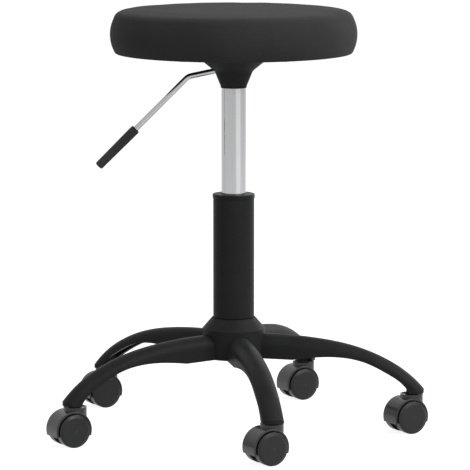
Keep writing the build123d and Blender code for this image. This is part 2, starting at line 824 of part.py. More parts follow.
with BuildPart() as hood_blank:
    # Half-round cover over both wheels
    with BuildSketch(Plane.XZ):
        with Locations((caster_trail, axle_z)):
            Circle(hood_radius)
        with Locations((caster_trail, axle_z - hood_skirt)):
            Rectangle(2 * hood_radius, hood_radius, align=(Align.CENTER, Align.MAX), mode=Mode.SUBTRACT)
    extrude(amount=hood_end_y, both=True)
    hood_ends = hood_blank.edges().filter_by(GeomType.CIRCLE).group_by(Axis.Y)
    fillet(hood_ends[0] + hood_ends[-1], hood_edge)
    # Boss round the stem
    with BuildSketch(Plane.XY.offset(axle_z + hood_skirt)):
        Circle(boss_radius)
    extrude(amount=boss_rise - hood_skirt)
    # Room for the wheels, each side of the web
    for side in (1, -1):
        with BuildSketch(Plane.XZ.offset(side * web_thickness / 2)):
            with Locations((caster_trail, axle_z)):
                Circle(hood_bore)
        extrude(amount=side * hood_end_y, mode=Mode.SUBTRACT)
    # Web below the axle
    with BuildSketch(Plane.XZ):
        with Locations((caster_trail, axle_z)):
            Circle(web_boss_radius)
    extrude(amount=web_thickness / 2, both=True)
    # Recess in the boss, stem bore with its retaining lip, axle hole
    with BuildSketch(Plane.XY.offset(boss_top_z)):
        Circle(boss_radius - boss_rim)
    extrude(amount=-boss_recess, mode=Mode.SUBTRACT)
    bore_radius = stem_pivot_radius + running_clearance
    lip_radius = bore_radius - snap_depth
    with BuildSketch(Plane.XZ):
        with BuildLine():
            Polyline(
                (0, stem_end_z - stem_bore_spare),
                (bore_radius, stem_end_z - stem_bore_spare),
                (bore_radius, snap_z + axial_play),
                (lip_radius, snap_z + axial_play),
                (lip_radius, snap_z + snap_width - axial_play),
                (bore_radius, snap_z + snap_width - axial_play),
                (bore_radius, boss_top_z),
                (0, boss_top_z),
                close=True,
            )
        make_face()
    revolve(axis=Axis.Z, mode=Mode.SUBTRACT)
    with Locations(Plane(origin=axle_line.position, z_dir=axle_line.direction)):
        Cylinder(axle_radius, web_thickness, mode=Mode.SUBTRACT)

with BuildPart() as axle_blank:
    with Locations(Plane(origin=axle_line.position, z_dir=axle_line.direction)):
        Cylinder(axle_radius, 2 * (axle_end_y - axial_play))

# Cup-shaped wheel: tread ring, outer disc and hub, open towards the web
wheel_bore = axle_radius + running_clearance
face_y = disc_y - wheel_face
tread_bore = wheel_radius - wheel_rim

with BuildPart() as wheel_blank:
    with BuildSketch(Plane(origin=axle_line.position, x_dir=(0, 1, 0), z_dir=(1, 0, 0))) as wheel_half:
        with BuildLine():
            Polyline(
                (disc_y + wheel_dome, 0),
                (axle_end_y, 0),
                (axle_end_y, wheel_bore),
                (wheel_inner_y, wheel_bore),
                (wheel_inner_y, wheel_hub_radius),
                (face_y, wheel_hub_radius),
                (face_y, tread_bore),
                (wheel_inner_y, tread_bore),
                (wheel_inner_y, wheel_radius),
                (wheel_outer_y, wheel_radius),
                (disc_y, wheel_disc_radius),
            )
            TangentArc((disc_y + wheel_dome, 0), (disc_y, wheel_disc_radius), tangent=(0, 1))
        make_face()
        fillet(wheel_half.vertices().group_by(Axis.Y)[-1], wheel_edge)
        fillet(wheel_half.vertices().sort_by_distance((disc_y, wheel_disc_radius))[0], wheel_edge)
    revolve(axis=axle_line)

with BuildPart() as far_wheel_blank:
    mirror(wheel_blank.part, about=Plane.XZ)

caster_pieces = (
    ("hood", hood_blank),
    ("axle", axle_blank),
    ("wheel_right", wheel_blank),
    ("wheel_left", far_wheel_blank),
)
for number, angle in enumerate(arm_angles, start=1):
    for piece_name, blank in caster_pieces:
        with BuildPart(caster_place(angle)) as caster_piece:
            add(blank.part)
        save(caster_piece, f"caster_{number}_{piece_name}")
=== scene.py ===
"""Dresses the swivel stool: upholstered seat, black and bright finishes, and a pale studio round it."""

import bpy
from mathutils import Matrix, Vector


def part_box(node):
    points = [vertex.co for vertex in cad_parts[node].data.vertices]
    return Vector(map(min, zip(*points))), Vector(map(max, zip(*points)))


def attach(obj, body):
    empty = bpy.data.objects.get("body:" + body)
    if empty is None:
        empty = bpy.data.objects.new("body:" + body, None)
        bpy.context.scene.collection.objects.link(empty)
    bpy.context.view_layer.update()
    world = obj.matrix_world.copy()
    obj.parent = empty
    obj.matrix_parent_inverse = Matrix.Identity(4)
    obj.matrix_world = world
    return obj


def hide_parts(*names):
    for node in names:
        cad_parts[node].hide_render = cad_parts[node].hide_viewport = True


bl_info = {
    "name": "Swivel Stool Dressing",
    "version": (1, 0, 0),
    "blender": (4, 5, 0),
    "location": "View3D > Sidebar > Stool",
    "description": "Gives the swivel stool its upholstery, its finishes and a pale studio",
    "category": "Object",
}

from math import cos, pi, radians, sin, sqrt

import bpy
from bpy.props import FloatProperty, FloatVectorProperty, IntProperty, PointerProperty
from mathutils import Vector

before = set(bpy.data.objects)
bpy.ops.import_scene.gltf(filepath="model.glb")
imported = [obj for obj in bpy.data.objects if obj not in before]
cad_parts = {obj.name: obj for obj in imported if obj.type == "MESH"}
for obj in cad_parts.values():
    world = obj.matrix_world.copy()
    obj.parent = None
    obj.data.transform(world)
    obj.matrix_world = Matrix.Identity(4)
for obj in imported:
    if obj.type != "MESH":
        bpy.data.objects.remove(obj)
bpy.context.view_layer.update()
COVER_LOW, COVER_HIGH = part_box("seat_cover")
BOARD_LOW, BOARD_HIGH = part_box("seat_board")
MILLIMETRE = 0.001
ARM_NUMBERS = range(1, 6)


# Settings


def length(name, description, default):
    """A size in metres that a user may change."""
    return FloatProperty(name=name, description=description, default=default, precision=5, unit="LENGTH")


def share(name, description, default):
    """A value from 0 to 1 that a user may change."""
    return FloatProperty(
        name=name, description=description, default=default, min=0, max=1, subtype="FACTOR"
    )


def power(name, description, default):
    """A lamp's power in watts that a user may change."""
    return FloatProperty(name=name, description=description, default=default, min=0, unit="POWER")


def colour(name, description, default):
    """A surface colour that a user may change."""
    return FloatVectorProperty(
        name=name, description=description, default=default, min=0, max=1, subtype="COLOR"
    )


class SeatSettings(bpy.types.PropertyGroup):
    """Sizes and colours of the upholstered seat."""

    radius: length("Radius", "Widest radius of the cushion", COVER_HIGH.x)
    foot_radius: length("Foot radius", "Radius where the side turns under", 0.1437)
    widest_height: length("Widest height", "Height of the widest ring above the underside", 0.022)
    edge_height: length("Edge height", "Height where the side starts to round over", 0.0415)
    edge_radius: length("Edge radius", "Radius where the rounded edge meets the top", 0.128)
    corner_radius: length("Corner radius", "Radius of the corner that the edge rounds off", 0.142)
    edge_drop: length("Edge drop", "Depth of the rounded edge below the highest point allowed", 0.0033)
    crown: length("Crown", "Rise of the middle of the top over its rounded edge", 0.0025)
    hem_radius: length("Hem radius", "Inner radius of the turned-under hem", 0.1152)
    give: length("Give", "Furthest that the cover moves when the foam fills it", 0.0012)
    thread: length("Thread", "Spacing of the woven threads", 0.0009)
    pleat_count: IntProperty(name="Pleats", description="Folds in the turned-under hem", default=54, min=3)
    pleat_length: length("Pleat length", "Length of a fold in the hem", 0.017)
    pleat_radius: length("Pleat radius", "Half the width of a fold in the hem", 0.0006)
    cloth_colour: colour("Cloth", "Colour of the upholstery", (0.031, 0.031, 0.0314))
    lint_colour: colour("Lint", "Colour of the lighter fibres", (0.056, 0.056, 0.0565))


class FinishSettings(bpy.types.PropertyGroup):
    """Colours of the hard finishes."""

    coat_colour: colour("Powder coat", "Colour of the base and the column", (0.0207, 0.0212, 0.0211))
    bell_colour: colour("Bell paint", "Colour of the housing under the seat", (0.0400, 0.0410, 0.0420))
    chrome_colour: colour("Chrome", "Colour of the bright metal", (0.42, 0.423, 0.428))
    zinc_colour: colour("Zinc", "Colour of the plated fasteners", (0.50, 0.50, 0.48))
    grip_colour: colour("Grip", "Colour of the lever's grip", (0.038, 0.0390, 0.0385))
    bush_colour: colour("Bush", "Colour of the column's guide bush", (0.0105, 0.0110, 0.0110))
    hood_colour: colour("Hood", "Colour of the caster hoods", (0.027, 0.0275, 0.0290))
    wheel_colour: colour("Wheel", "Colour of the caster wheels", (0.0150, 0.0160, 0.0156))
    ply_colour: colour("Plywood", "Colour of the dark-stained seat board", (0.070, 0.062, 0.055))
    brass_colour: colour("Brass", "Colour of the turned brass", (0.66, 0.49, 0.22))
    rubber_colour: colour("Rubber", "Colour of the stop bumper", (0.02, 0.02, 0.02))
    dust_colour: colour("Dust", "Colour of dust near the floor", (0.16, 0.155, 0.15))


class StageSettings(bpy.types.PropertyGroup):
    """Floor, light and camera."""

    floor_colour: colour("Floor", "Colour of the floor", (0.38, 0.38, 0.38))
    floor_size: length("Floor size", "Width of the floor", 60.0)
    floor_glow: share("Floor glow", "Part of the floor's white that shadows don't reach", 0.88)
    room_light: FloatProperty(name="Room light", description="Light from all round", default=0.36, min=0)
    key_light: power("Key light", "Lamp in front, high at the right", 41)
    fill_light: power("Fill light", "Lamp at the left", 10)
    top_light: power("Top light", "Lamp high at the right", 44)
    back_light: power("Back light", "Lamp high behind", 18)
    panel_light: power("Panel", "Low panel at the right", 4.2)
    rim_light: power("Rim", "Lamp behind, at the right", 9.0)
    camera_place: FloatVectorProperty(
        name="Camera",
        description="Where the camera stands",
        default=(0, -4.01449, 0.79627),
        subtype="TRANSLATION",
    )
    camera_tilt: FloatProperty(
        name="Tilt",
        description="Camera's tilt from straight down",
        default=radians(82.087),
        subtype="ANGLE",
    )
    camera_turn: FloatProperty(
        name="Turn",
        description="Camera's turn about the upright",
        default=radians(-0.023),
        subtype="ANGLE",
    )
    camera_lens: FloatProperty(name="Lens", description="Focal length in millimetres", default=254.97)


class StoolSettings(bpy.types.PropertyGroup):
    """All settings of the stool."""

    seat: PointerProperty(type=SeatSettings)
    finish: PointerProperty(type=FinishSettings)
    stage: PointerProperty(type=StageSettings)


# Node helpers


def link(tree, start, start_socket, end, end_socket):
    """Joins two nodes by the names of their sockets."""
    tree.links.new(start.outputs[start_socket], end.inputs[end_socket])


def add_node(tree, kind, **values):
    """A new node, its attributes and its input sockets set by name."""
    node = tree.nodes.new(kind)
    for name, value in values.items():
        if hasattr(node, name):
            setattr(node, name, value)
        else:
            node.inputs[name.replace("_", " ")].default_value = value
    return node


def maths(tree, operation, first, second=0.0):
    """A maths node on sockets or numbers. Gives its output socket."""
    node = add_node(tree, "ShaderNodeMath", operation=operation)
    for place, value in enumerate((first, second)):
        if isinstance(value, (int, float)):
            node.inputs[place].default_value = value
        else:
            tree.links.new(value, node.inputs[place])
    return node.outputs[0]


def ramp(tree, value, low, high, low_out=0.0, high_out=1.0):
    """Carries a socket's values from low..high to low_out..high_out, smoothly."""
    node = add_node(tree, "ShaderNodeMapRange", interpolation_type="SMOOTHSTEP")
    for name, number in (("From Min", low), ("From Max", high), ("To Min", low_out), ("To Max", high_out)):
        node.inputs[name].default_value = number
    tree.links.new(value, node.inputs["Value"])
    return node.outputs[0]


def colour_mix(tree, mask, first, second):
    """Mixes two colours by a mask socket. Gives the colour socket."""
    node = add_node(tree, "ShaderNodeMix", data_type="RGBA")
    tree.links.new(mask, node.inputs["Factor"])
    for name, value in (("A", first), ("B", second)):
        socket = next(s for s in node.inputs if s.name == name and s.type == "RGBA")
        if isinstance(value, bpy.types.NodeSocket):
            tree.links.new(value, socket)
        else:
            socket.default_value = (*value, 1)
    return next(s for s in node.outputs if s.type == "RGBA")


def paint(tree, shader, mask, first, second):
    """Feeds a mix of two colours into the shader's base colour."""
    tree.links.new(colour_mix(tree, mask, first, second), shader.inputs["Base Color"])


def shaded(tone, factor):
    """A colour made lighter or darker by a factor."""
    return [min(1.0, channel * factor) for channel in tone]


def noise(tree, scale, detail=3.0, stretch=None):
    """Noise on the piece's own coordinates. Gives the value socket."""
    place = add_node(tree, "ShaderNodeTexCoord").outputs["Object"]
    if stretch is not None:
        mapping = add_node(tree, "ShaderNodeMapping", Scale=stretch)
        tree.links.new(place, mapping.inputs["Vector"])
        place = mapping.outputs[0]
    node = add_node(tree, "ShaderNodeTexNoise", Scale=scale, Detail=detail)
    tree.links.new(place, node.inputs["Vector"])
    return node.outputs["Fac"]


def bump(tree, shader, height, strength, distance):
    """Feeds a height into the shader's normal."""
    node = add_node(tree, "ShaderNodeBump", Strength=strength, Distance=distance)
    tree.links.new(height, node.inputs["Height"])
    link(tree, node, "Normal", shader, "Normal")


def new_group(name, inputs, outputs):
    """An empty shader node group with named values in and out."""
    tree = bpy.data.node_groups.new(name, "ShaderNodeTree")
    for socket, default in inputs:
        entry = tree.interface.new_socket(socket, in_out="INPUT", socket_type="NodeSocketFloat")
        entry.default_value = default
    for socket in outputs:
        tree.interface.new_socket(socket, in_out="OUTPUT", socket_type="NodeSocketFloat")
    return tree, tree.nodes.new("NodeGroupInput"), tree.nodes.new("NodeGroupOutput")


def grain_group():
    """Fine grain of a moulded or coated surface, and its slow unevenness."""
    cloud_share = 0.025
    tree, given, result = new_group("surface grain", [("Scale", 900.0)], ["Grain", "Cloud"])
    place = add_node(tree, "ShaderNodeTexCoord")
    fine = add_node(tree, "ShaderNodeTexNoise", Detail=4.0)
    link(tree, place, "Object", fine, "Vector")
    link(tree, given, "Scale", fine, "Scale")
    tree.links.new(fine.outputs[0], result.inputs["Grain"])
    slow = add_node(tree, "ShaderNodeTexNoise", Detail=2.0)
    link(tree, place, "Object", slow, "Vector")
    tree.links.new(maths(tree, "MULTIPLY", given.outputs["Scale"], cloud_share), slow.inputs["Scale"])
    tree.links.new(slow.outputs[0], result.inputs["Cloud"])
    return tree


def scuff_group():
    """Fine crossing rub marks from handling and cleaning."""
    lean, turns, narrow = 0.3, (0.5, 2.1), (1.0, 9.0, 1.0)
    tree, given, result = new_group("rub marks", [("Scale", 60.0), ("Amount", 0.5)], ["Marks"])
    place = add_node(tree, "ShaderNodeTexCoord")
    marks = None
    for turn in turns:
        mapping = add_node(tree, "ShaderNodeMapping", Rotation=(lean, turn, turn), Scale=narrow)
        link(tree, place, "Object", mapping, "Vector")
        streak = add_node(tree, "ShaderNodeTexNoise", Detail=5.0, Roughness=0.7)
        link(tree, mapping, "Vector", streak, "Vector")
        link(tree, given, "Scale", streak, "Scale")
        thin = ramp(tree, streak.outputs[0], low=0.60, high=0.72)
        marks = thin if marks is None else maths(tree, "MAXIMUM", marks, thin)
    tree.links.new(maths(tree, "MULTIPLY", marks, given.outputs["Amount"]), result.inputs["Marks"])
    return tree


def dust_group():
    """Dust that gathers near the floor."""
    tree, given, result = new_group("floor dust", [("Height", 0.03), ("Amount", 0.5)], ["Dust"])
    place = add_node(tree, "ShaderNodeTexCoord")
    parts = add_node(tree, "ShaderNodeSeparateXYZ")
    link(tree, place, "Object", parts, "Vector")
    low = add_node(tree, "ShaderNodeMapRange", interpolation_type="SMOOTHSTEP")
    low.inputs["To Min"].default_value = 1.0
    low.inputs["To Max"].default_value = 0.0
    tree.links.new(parts.outputs["Z"], low.inputs["Value"])
    link(tree, given, "Height", low, "From Max")
    patches = ramp(tree, noise(tree, scale=120.0, detail=6.0), low=0.42, high=0.70)
    settled = maths(tree, "MULTIPLY", low.outputs[0], patches)
    tree.links.new(maths(tree, "MULTIPLY", settled, given.outputs["Amount"]), result.inputs["Dust"])
    return tree


GROUP_NAMES = {grain_group: "surface grain", scuff_group: "rub marks", dust_group: "floor dust"}


def place_group(tree, maker, **values):
    """Puts a node group, built once, into a material with its own values."""
    group = add_node(tree, "ShaderNodeGroup")
    group.node_tree = bpy.data.node_groups.get(GROUP_NAMES[maker]) or maker()
    for name, value in values.items():
        group.inputs[name].default_value = value
    return group


def new_material(name, **values):
    """A material with its shader's plain values set by socket name. Gives material, tree and shader."""
    material = bpy.data.materials.new(name)
    material.use_nodes = True
    tree = material.node_tree
    shader = tree.nodes["Principled BSDF"]
    for socket, value in values.items():
        shader.inputs[socket.replace("_", " ")].default_value = value
    return material, tree, shader


# Finishes

CLOUD_TONE = 1.12        # lightest cloud over the base colour
CLOUD_GLOSS = 0.04       # roughness up and down with the clouds
RUB_SCALE = 55.0
RUB_ROUGHNESS = 0.12     # roughness that a full rub mark adds
DUST_ROUGHNESS = 0.3     # roughness that full dust adds
GRAIN_STRENGTH = 0.35
NOISE_LOW, NOISE_HIGH = 0.3, 0.7


def moulded(name, base, rough, gloss, grain_scale, grain_depth, marks, dust_height=0.01, dust=0.0):
    """Moulded plastic or coated metal: grain, uneven gloss, rub marks and a little dust."""
    finish = bpy.context.scene.stool.finish
    material, tree, shader = new_material(name, Specular_IOR_Level=gloss)
    grain = place_group(tree, grain_group, Scale=grain_scale)
    rubbed = place_group(tree, scuff_group, Scale=RUB_SCALE, Amount=marks)
    dusty = place_group(tree, dust_group, Height=dust_height, Amount=dust)
    cloud = ramp(tree, grain.outputs["Cloud"], low=0.35, high=0.65)
    toned = colour_mix(tree, cloud, base, shaded(base, CLOUD_TONE))
    paint(tree, shader, dusty.outputs["Dust"], toned, finish.dust_colour)
    uneven = ramp(
        tree, grain.outputs["Cloud"], NOISE_LOW, NOISE_HIGH, rough - CLOUD_GLOSS, rough + CLOUD_GLOSS
    )
    worn = maths(tree, "ADD", uneven, maths(tree, "MULTIPLY", rubbed.outputs["Marks"], RUB_ROUGHNESS))
    dulled = maths(tree, "ADD", worn, maths(tree, "MULTIPLY", dusty.outputs["Dust"], DUST_ROUGHNESS))
    tree.links.new(dulled, shader.inputs["Roughness"])
    bump(tree, shader, grain.outputs["Grain"], GRAIN_STRENGTH, grain_depth)
    return material


def upholstery():
    """Close woven black cloth: threads over and under, soft sheen and lighter fibres."""
    seat = bpy.context.scene.stool.seat
    gap_colour = (0.010, 0.010, 0.010)
    fibre_share, fuzz_share = 0.35, 0.5
    material, tree, shader = new_material(
        "woven upholstery", Roughness=0.9, Specular_IOR_Level=0.10, Sheen_Weight=0.04, Sheen_Roughness=0.5
    )
    cut = add_node(tree, "ShaderNodeUVMap", uv_map="cloth")
    parts = add_node(tree, "ShaderNodeSeparateXYZ")
    link(tree, cut, "UV", parts, "Vector")
    rate = pi / seat.thread
    weft, warp = [
        maths(tree, "SINE", maths(tree, "MULTIPLY", parts.outputs[axis], rate)) for axis in "XY"
    ]
    over_under = maths(tree, "MULTIPLY", weft, warp)
    ribs = maths(tree, "ADD", maths(tree, "ABSOLUTE", weft), maths(tree, "ABSOLUTE", warp))
    weave = maths(tree, "ADD", maths(tree, "MULTIPLY", over_under, 0.5), maths(tree, "MULTIPLY", ribs, 0.5))
    fibres = ramp(tree, noise(tree, scale=1400.0, detail=4.0), low=0.50, high=0.80)
    shade = ramp(tree, noise(tree, scale=16.0), low=0.30, high=0.72, low_out=0.0, high_out=0.30)
    light = maths(tree, "ADD", maths(tree, "MULTIPLY", fibres, fibre_share), shade)
    woven = colour_mix(tree, light, seat.cloth_colour, seat.lint_colour)
    gaps = ramp(tree, weave, low=-0.2, high=0.7, low_out=0.35, high_out=0.0)
    paint(tree, shader, gaps, woven, gap_colour)
    fuzz = maths(tree, "MULTIPLY", noise(tree, scale=2200.0, detail=2.0), fuzz_share)
    bump(tree, shader, maths(tree, "ADD", weave, fuzz), strength=0.5, distance=0.00025)
    return material


def bright_chrome():
    """Polished chrome with a faint grain drawn along the tube and slight haze."""
    finish = bpy.context.scene.stool.finish
    material, tree, shader = new_material("bright chrome", Metallic=1.0)
    drawn = noise(tree, scale=220.0, detail=4.0, stretch=(1.0, 1.0, 0.02))
    haze = noise(tree, scale=25.0)
    streaks = ramp(tree, drawn, NOISE_LOW, NOISE_HIGH)
    paint(tree, shader, streaks, finish.chrome_colour, shaded(finish.chrome_colour, 0.93))
    roughness = ramp(tree, haze, low=0.35, high=0.75, low_out=0.09, high_out=0.14)
    tree.links.new(roughness, shader.inputs["Roughness"])
    bump(tree, shader, drawn, strength=0.06, distance=0.0001)
    return material


def plated_steel():
    """Zinc-plated steel with the cloudy spangle of the plating."""
    finish = bpy.context.scene.stool.finish
    most_rough = 0.6
    material, tree, shader = new_material("zinc plate", Metallic=1.0)
    spangle = noise(tree, scale=500.0, detail=5.0)
    rubbed = place_group(tree, scuff_group, Scale=180.0, Amount=0.6)
    patches = ramp(tree, spangle, NOISE_LOW, NOISE_HIGH)
    paint(tree, shader, patches, finish.zinc_colour, shaded(finish.zinc_colour, 0.72))
    cloudy = ramp(tree, spangle, NOISE_LOW, NOISE_HIGH, low_out=0.30, high_out=0.42)
    worn = maths(tree, "ADD", cloudy, rubbed.outputs["Marks"])
    tree.links.new(maths(tree, "MINIMUM", worn, most_rough), shader.inputs["Roughness"])
    bump(tree, shader, spangle, strength=0.15, distance=0.00005)
    return material


def turned_brass():
    """Brass with the rings that turning leaves."""
    finish = bpy.context.scene.stool.finish
    material, tree, shader = new_material("turned brass", Metallic=1.0)
    rings = noise(tree, scale=900.0, detail=2.0, stretch=(0.02, 0.02, 1.0))
    bands = ramp(tree, rings, NOISE_LOW, NOISE_HIGH)
    paint(tree, shader, bands, finish.brass_colour, shaded(finish.brass_colour, 0.8))
    roughness = ramp(tree, rings, NOISE_LOW, NOISE_HIGH, low_out=0.22, high_out=0.34)
    tree.links.new(roughness, shader.inputs["Roughness"])
    bump(tree, shader, rings, strength=0.2, distance=0.00005)
    return material


def plywood():
    """Dark-stained plywood: drawn-out grain on its faces, glued layers round its edge."""
    finish = bpy.context.scene.stool.finish
    material, tree, shader = new_material("plywood", Specular_IOR_Level=0.3)
    grain = noise(tree, scale=90.0, detail=6.0, stretch=(0.08, 1.0, 12.0))
    knots = noise(tree, scale=9.0, stretch=(0.4, 1.0, 1.0))
    knotty = ramp(tree, knots, low=0.2, high=0.8, low_out=0.4, high_out=1.0)
    streaks = maths(tree, "MULTIPLY", ramp(tree, grain, low=0.35, high=0.70), knotty)
    paint(tree, shader, streaks, finish.ply_colour, shaded(finish.ply_colour, 0.62))
    roughness = ramp(tree, grain, NOISE_LOW, NOISE_HIGH, low_out=0.58, high_out=0.72)
    tree.links.new(roughness, shader.inputs["Roughness"])
    bump(tree, shader, grain, strength=0.3, distance=0.0002)
    return material


def powder_coat():
    """Satin black powder coat of the base and the column."""
    return moulded(
        "satin powder coat",
        bpy.context.scene.stool.finish.coat_colour,
        rough=0.44,
        gloss=0.04,
        grain_scale=1500.0,
        grain_depth=0.00002,
        marks=0.25,
        dust_height=0.06,
        dust=0.03,
    )


def bell_paint():
    """Matte black paint of the housing under the seat."""
    return moulded(
        "bell paint",
        bpy.context.scene.stool.finish.bell_colour,
        rough=0.56,
        gloss=0.02,
        grain_scale=900.0,
        grain_depth=0.00004,
        marks=0.30,
    )


def grip_plastic():
    """Matte plastic of the lever's grip, a little rubbed."""
    return moulded(
        "grip plastic",
        bpy.context.scene.stool.finish.grip_colour,
        rough=0.50,
        gloss=0.18,
        grain_scale=1800.0,
        grain_depth=0.00012,
        marks=0.55,
    )


def bush_plastic():
    """Plastic of the guide bush and its cap."""
    return moulded(
        "bush plastic",
        bpy.context.scene.stool.finish.bush_colour,
        rough=0.44,
        gloss=0.09,
        grain_scale=1600.0,
        grain_depth=0.00006,
        marks=0.3,
    )


def hood_plastic():
    """Glossy moulded plastic of the caster hoods."""
    return moulded(
        "hood plastic",
        bpy.context.scene.stool.finish.hood_colour,
        rough=0.24,
        gloss=0.34,
        grain_scale=700.0,
        grain_depth=0.00003,
        marks=0.45,
        dust_height=0.030,
        dust=0.03,
    )


def wheel_plastic():
    """Hard moulded plastic of the caster wheels."""
    return moulded(
        "wheel plastic",
        bpy.context.scene.stool.finish.wheel_colour,
        rough=0.32,
        gloss=0.26,
        grain_scale=1300.0,
        grain_depth=0.00004,
        marks=0.5,
        dust_height=0.016,
        dust=0.06,
    )


def bumper_rubber():
    """Dull rubber of the stop bumper."""
    return moulded(
        "bumper rubber",
        bpy.context.scene.stool.finish.rubber_colour,
        rough=0.75,
        gloss=0.3,
        grain_scale=1500.0,
        grain_depth=0.0001,
        marks=0.2,
    )


def dress(finish, *nodes):
    """Gives CAD nodes one finish."""
    for name in nodes:
        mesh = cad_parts[name].data
        mesh.materials.clear()
        mesh.materials.append(finish)


# Shapes


def lathe(name, outline, segments, flat_from):
    """Closed shell turned about the upright from (radius, height) points, both ends on the axis.

    Its cloth map is cut flat for the points before flat_from, and wrapped round for the rest."""
    points = [(0, 0, outline[0][1])]
    for radius, height in outline[1:-1]:
        for step in range(segments):
            angle = 2 * pi * step / segments
            points.append((radius * cos(angle), radius * sin(angle), height))
    points.append((0, 0, outline[-1][1]))
    rings = len(outline) - 2
    last = len(points) - 1
    faces, wrapped = [], []

    def spot(ring, step):
        return 1 + ring * segments + step % segments

    for step in range(segments):
        faces.append((0, spot(0, step), spot(0, step + 1)))
        wrapped.append(None)
    for ring in range(rings - 1):
        for step in range(segments):
            here = (spot(ring, step), spot(ring + 1, step))
            beyond = (spot(ring + 1, step + 1), spot(ring, step + 1))
            faces.append(here + beyond)
            wrapped.append((ring, step) if ring >= flat_from else None)
    for step in range(segments):
        faces.append((last, spot(rings - 1, step + 1), spot(rings - 1, step)))
        wrapped.append(None)
    mesh = bpy.data.meshes.new(name)
    mesh.from_pydata(points, [], faces)
    along = [0.0]
    for (r0, z0), (r1, z1) in zip(outline[1:-1], outline[2:-1]):
        along.append(along[-1] + sqrt((r1 - r0) ** 2 + (z1 - z0) ** 2))
    widest = max(radius for radius, _ in outline)
    cloth_map = mesh.uv_layers.new(name="cloth")
    for face, place in zip(mesh.polygons, wrapped):
        for corner, loop in enumerate(face.loop_indices):
            if place is None:
                point = mesh.vertices[mesh.loops[loop].vertex_index].co
                cloth_map.data[loop].uv = (point.x, point.y)
                continue
            # Corners 2 and 3 of a face lie one step on, corners 1 and 2 one ring on
            ring, step = place
            turn = step + 1 if corner in (2, 3) else step
            row = ring + 1 if corner in (1, 2) else ring
            cloth_map.data[loop].uv = (widest * 2 * pi * turn / segments, along[row])
    for face in mesh.polygons:
        face.use_smooth = True
    piece = bpy.data.objects.new(name, mesh)
    bpy.context.scene.collection.objects.link(piece)
    return piece


def cushion_outline(seat):
    """Half outline of the cover and its foam: crown, side, hem and the hollow for the board.

    Gives the points, the number that lie on the flat-cut top and the number that are free to swell."""
    low, top = COVER_LOW.z, COVER_HIGH.z
    board_clearance = 0.4 * MILLIMETRE
    board_bevel = MILLIMETRE
    corner_drop = 0.4 * MILLIMETRE
    foot_round = 2.2 * MILLIMETRE
    edge_roll = 0.7 * MILLIMETRE
    hem_inset = 1.6 * MILLIMETRE
    hem_bulge = 0.6 * MILLIMETRE
    crown_steps, edge_steps, side_steps, hem_steps = 20, 10, 14, 5
    slack_rise = seat.crown - seat.give

    def crown(radius):
        return (radius, top - seat.edge_drop + slack_rise * (1 - (radius / seat.edge_radius) ** 2))

    rise = seat.widest_height
    bulge = seat.radius - seat.foot_radius
    side_bend = (rise**2 + bulge**2) / (2 * bulge)
    centre = seat.radius - side_bend

    def side(height):
        return (centre + sqrt(side_bend**2 - (height - rise) ** 2), low + height)

    # Crown, then a curve over the edge towards a corner, then the barrel side
    points = [crown(seat.edge_radius * step / crown_steps) for step in range(crown_steps)]
    start, end = crown(seat.edge_radius), side(seat.edge_height)
    corner = (seat.corner_radius, start[1] - corner_drop)
    for step in range(edge_steps):
        t = step / edge_steps
        points.append(
            tuple((1 - t) ** 2 * a + 2 * t * (1 - t) * b + t**2 * c for a, b, c in zip(start, corner, end))
        )
    flat_cut = crown_steps + edge_steps // 2
    for step in range(side_steps + 1):
        points.append(side(seat.edge_height + (foot_round - seat.edge_height) * step / side_steps))
    free = len(points) - 1

    # Lower edge, rolled a little below the hem, and the hem
    foot, roll = seat.foot_radius, low - edge_roll
    points += [
        (foot + 0.1 * MILLIMETRE, roll + 0.9 * MILLIMETRE),
        (foot - 0.7 * MILLIMETRE, roll + 0.2 * MILLIMETRE),
        (foot - foot_round, roll),
    ]
    hem_start, hem_end = foot - foot_round, seat.hem_radius - hem_inset
    for step in range(1, hem_steps + 1):
        points.append((hem_start + (hem_end - hem_start) * step / hem_steps, low))

    # Round the hem's end, along the board's underside, up its edge and over it
    roof = BOARD_LOW.z - board_clearance / 2
    wall = BOARD_HIGH.x + board_clearance
    ceiling = BOARD_HIGH.z + board_clearance
    points += [
        (hem_end - hem_bulge, (low + roof) / 2),
        (hem_end, roof),
        (wall - board_bevel, roof),
        (wall, roof + board_clearance / 2),
        (wall, ceiling - board_clearance / 2),
        (wall - board_bevel, ceiling),
        (wall / 2, ceiling),
        (0, ceiling),
    ]
    return points, flat_cut, free


def swell(cushion, segments, free_rings, give):
    """Lets the cover settle over the foam's pressure, each point moving at most by the seat's give."""
    scene = bpy.context.scene
    mesh = cushion.data
    rest = [vertex.co.copy() for vertex in mesh.vertices]
    held = cushion.vertex_groups.new(name="held")
    first_held = 1 + (free_rings - 1) * segments
    held.add(list(range(first_held, len(mesh.vertices))), 1.0, "REPLACE")
    cloth = cushion.modifiers.new("cover tension", "CLOTH")
    cloth.settings.quality = 5
    cloth.settings.mass = 0.2
    cloth.settings.tension_stiffness = 30
    cloth.settings.compression_stiffness = 30
    cloth.settings.shear_stiffness = 10
    cloth.settings.bending_stiffness = 40
    cloth.settings.use_pressure = True
    cloth.settings.uniform_pressure_force = 2.0
    cloth.settings.vertex_group_mass = held.name
    cloth.settings.effector_weights.gravity = 0
    last_frame = 16
    cloth.point_cache.frame_start = 1
    cloth.point_cache.frame_end = last_frame
    for number in range(1, last_frame + 1):
        scene.frame_set(number)
    evaluated = cushion.evaluated_get(bpy.context.evaluated_depsgraph_get())
    settled = [vertex.co.copy() for vertex in evaluated.to_mesh().vertices]
    evaluated.to_mesh_clear()
    cushion.modifiers.remove(cloth)
    cushion.vertex_groups.remove(held)
    scene.frame_set(1)
    for vertex, before, after in zip(mesh.vertices, rest, settled):
        shift = after - before
        if shift.length > give:
            shift *= give / shift.length
        vertex.co = before + shift
    mesh.update()


